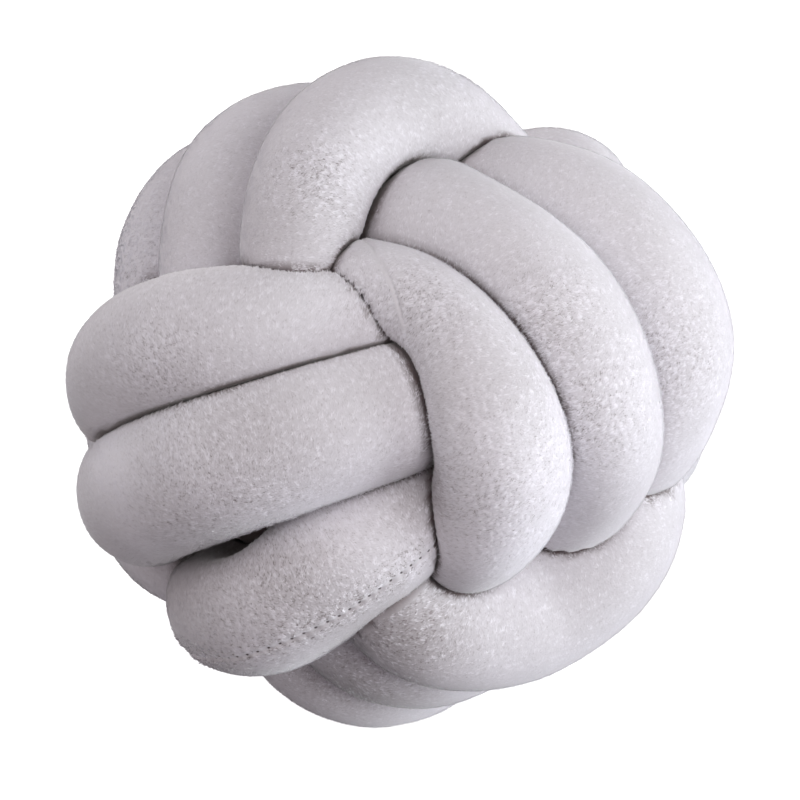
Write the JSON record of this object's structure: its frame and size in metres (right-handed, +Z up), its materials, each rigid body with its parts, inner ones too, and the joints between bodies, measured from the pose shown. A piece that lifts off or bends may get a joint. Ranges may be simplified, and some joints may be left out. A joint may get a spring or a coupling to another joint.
{
  "type": "knotted ball cushion",
  "caption": "Ball cushion knotted from one long stuffed plush tube, its turns wound over and under each other in crossing bands, with a small flat spot to rest on.",
  "frame": {"origin": "on the floor, under the middle of the ball's box", "axes": "+Z up from the flat spot it rests on, the front of the ball towards -Y, +X to the right seen from the front"},
  "size_m": [0.262, 0.2512, 0.2862],
  "materials": {
    "plush": "short-pile plush, pale warm grey"
  },
  "bodies": {
    "root": {"knotted_tube": "plush"}
  },
  "joints": []
}
